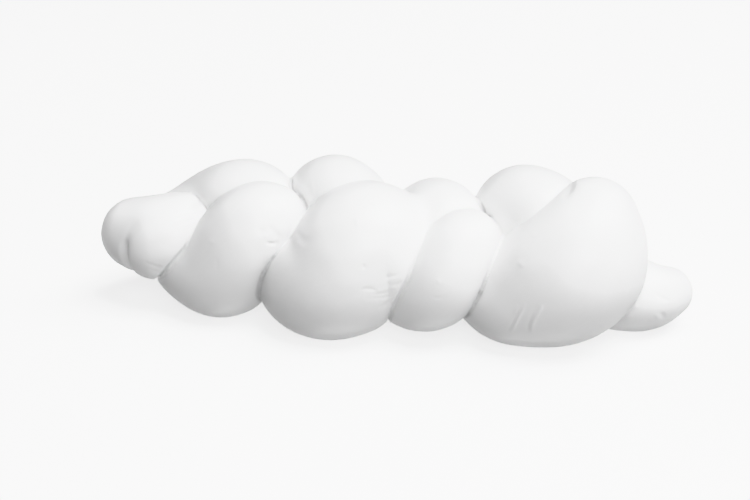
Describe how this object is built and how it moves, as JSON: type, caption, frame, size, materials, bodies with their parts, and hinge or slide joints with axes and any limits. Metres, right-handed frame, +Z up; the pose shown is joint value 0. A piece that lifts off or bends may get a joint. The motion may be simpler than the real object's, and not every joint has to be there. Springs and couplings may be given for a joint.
{
  "type": "braided buffalo mozzarella",
  "caption": "Loaf of fresh white cheese plaited from three plump strands, with a rounded knob at one end and a small tail at the other, lying flat.",
  "frame": {"origin": "under the middle of the braid's box, on the surface that it rests on", "axes": "+X along the braid from the rounded knob to the small tail, +Y to its far side, +Z up"},
  "size_m": [0.242, 0.0788, 0.0675],
  "materials": {
    "curd": "smooth, faintly moist fresh cheese skin"
  },
  "bodies": {
    "root": {"braid": "curd"}
  },
  "joints": []
}
